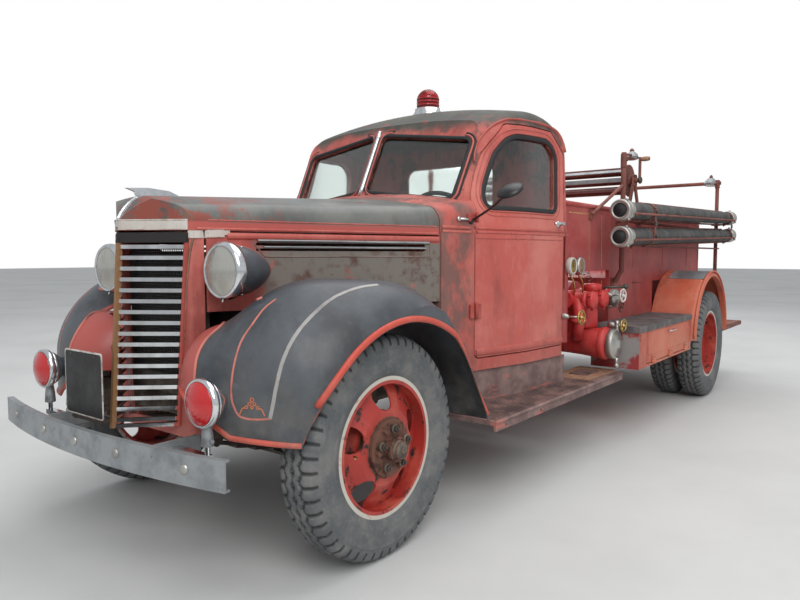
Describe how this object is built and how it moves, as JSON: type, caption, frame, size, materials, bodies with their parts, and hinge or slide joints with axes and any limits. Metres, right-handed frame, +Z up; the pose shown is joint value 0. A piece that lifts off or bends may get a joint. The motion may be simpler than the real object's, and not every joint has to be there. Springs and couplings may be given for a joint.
{
  "type": "fire engine",
  "caption": "Small old fire engine on a truck chassis: closed cab, prow grille, open hose body, side pump, hard suction hoses on a rack, crank reel, tailboard.",
  "frame": {"origin": "on the ground, midway between the front and rear ends, in the middle of the width", "axes": "+X forward along the vehicle, +Y to its left, +Z up"},
  "size_m": [6.17, 2.18, 2.1949],
  "materials": {
    "body_red": "matte, faded",
    "fender_grey": "satin, worn",
    "hood_grey": "matte, weathered",
    "bare_grey": "dull, galvanised",
    "rust_brown": "rusty",
    "chassis_dark": "dusty",
    "pump_red": "semi gloss",
    "box_orange": "faded",
    "cast": "oily",
    "bright": "worn",
    "dull_alloy": "dull",
    "spring_steel": "dull",
    "tyre_rubber": "dusty",
    "black_rubber": "worn",
    "pane": "clear",
    "red_glass": "glossy",
    "seat_cover": "worn",
    "dark_plastic": "satin"
  },
  "bodies": {
    "chassis": {"frame_rails": "chassis_dark", "front_axle": "cast", "rear_axle": "chassis_dark", "leaf_springs": "spring_steel", "engine_block": "cast", "hood_sides": "body_red", "grille_shell": "body_red", "grille_bars": "bright", "radiator": "chassis_dark", "front_bumper": "bare_grey", "cab_shell": "body_red", "cab_glass": "pane", "front_fenders": "fender_grey", "running_boards": "black_rubber", "hose_body": "body_red", "fire_pump": "pump_red", "pump_fittings": "dull_alloy", "side_boxes": "box_orange", "rear_fenders": "box_orange", "tailboard": "rust_brown", "suction_hoses": "black_rubber", "hose_couplings": "dull_alloy", "gantry_posts": "rust_brown", "hose_rack": "rust_brown", "reel_trestle": "rust_brown", "bench_seat": "seat_cover", "dashboard": "body_red", "roof_beacon": "red_glass", "headlamps": "body_red", "warning_lamps": "red_glass"},
    "left_knuckle": {"left_steering_knuckle": "cast"},
    "right_knuckle": {"right_steering_knuckle": "cast"},
    "tie_rod": {"tie_rod": "spring_steel"},
    "left_front_wheel": {"left_front_wheel": "body_red", "left_front_tyre": "tyre_rubber"},
    "right_front_wheel": {"right_front_wheel": "body_red", "right_front_tyre": "tyre_rubber"},
    "left_rear_wheels": {"left_rear_wheels": "body_red", "left_rear_tyres": "tyre_rubber"},
    "right_rear_wheels": {"right_rear_wheels": "body_red", "right_rear_tyres": "tyre_rubber"},
    "left_door": {"left_door": "body_red", "left_door_glass": "pane"},
    "right_door": {"right_door": "body_red", "right_door_glass": "pane"},
    "hood": {"hood": "hood_grey", "hood_ornament": "bright"},
    "left_box_door": {"left_box_door": "box_orange"},
    "right_box_door": {"right_box_door": "box_orange"},
    "hose_reel": {"hose_reel": "rust_brown"},
    "steering_wheel": {"steering_wheel": "dark_plastic"}
  },
  "joints": [
    {"name": "left_steer", "type": "hinge", "parent": "chassis", "child": "left_knuckle", "pos_m": [2.285, 0.62, 0.438], "axis": [0, 0, 1], "range_deg": [-30, 30]},
    {"name": "right_steer", "type": "hinge", "parent": "chassis", "child": "right_knuckle", "pos_m": [2.285, -0.62, 0.438], "axis": [0, 0, 1], "range_deg": [-30, 30]},
    {"name": "tie_rod_pivot", "type": "hinge", "parent": "left_knuckle", "child": "tie_rod", "pos_m": [2.135, 0.62, 0.329], "axis": [0, 0, 1], "range_deg": [-30, 30]},
    {"name": "left_front_roll", "type": "hinge", "parent": "left_knuckle", "child": "left_front_wheel", "pos_m": [2.285, 0.767, 0.438], "axis": [0, 1, 0], "continuous": true},
    {"name": "right_front_roll", "type": "hinge", "parent": "right_knuckle", "child": "right_front_wheel", "pos_m": [2.285, -0.767, 0.438], "axis": [0, 1, 0], "continuous": true},
    {"name": "left_rear_roll", "type": "hinge", "parent": "chassis", "child": "left_rear_wheels", "pos_m": [-1.741, 0.8855, 0.438], "axis": [0, 1, 0], "continuous": true},
    {"name": "right_rear_roll", "type": "hinge", "parent": "chassis", "child": "right_rear_wheels", "pos_m": [-1.741, -0.8855, 0.438], "axis": [0, 1, 0], "continuous": true},
    {"name": "left_door_hinge", "type": "hinge", "parent": "chassis", "child": "left_door", "pos_m": [1.417, 0.705, 1.25], "axis": [0, 0, -1], "range_deg": [0, 65]},
    {"name": "right_door_hinge", "type": "hinge", "parent": "chassis", "child": "right_door", "pos_m": [1.417, -0.705, 1.25], "axis": [0, 0, 1], "range_deg": [0, 65]},
    {"name": "hood_hinge", "type": "hinge", "parent": "chassis", "child": "hood", "pos_m": [1.648, 0, 1.475], "axis": [0, -1, 0], "range_deg": [0, 45]},
    {"name": "left_box_hinge", "type": "hinge", "parent": "chassis", "child": "left_box_door", "pos_m": [-0.635, 1.065, 0.468], "axis": [-1, 0, 0], "range_deg": [0, 100]},
    {"name": "right_box_hinge", "type": "hinge", "parent": "chassis", "child": "right_box_door", "pos_m": [-0.635, -1.065, 0.468], "axis": [1, 0, 0], "range_deg": [0, 100]},
    {"name": "reel_spin", "type": "hinge", "parent": "chassis", "child": "hose_reel", "pos_m": [-0.685, 0, 1.722], "axis": [0, 1, 0], "continuous": true},
    {"name": "steering_column", "type": "hinge", "parent": "chassis", "child": "steering_wheel", "pos_m": [1.135, 0.345, 1.352], "axis": [-0.7519, 0, 0.6593], "range_deg": [-480, 480]}
  ],
  "couplings": [
    {"joint": "right_steer", "follows": "left_steer", "ratio": 1},
    {"joint": "tie_rod_pivot", "follows": "left_steer", "ratio": -1},
    {"joint": "steering_column", "follows": "left_steer", "ratio": 16}
  ]
}
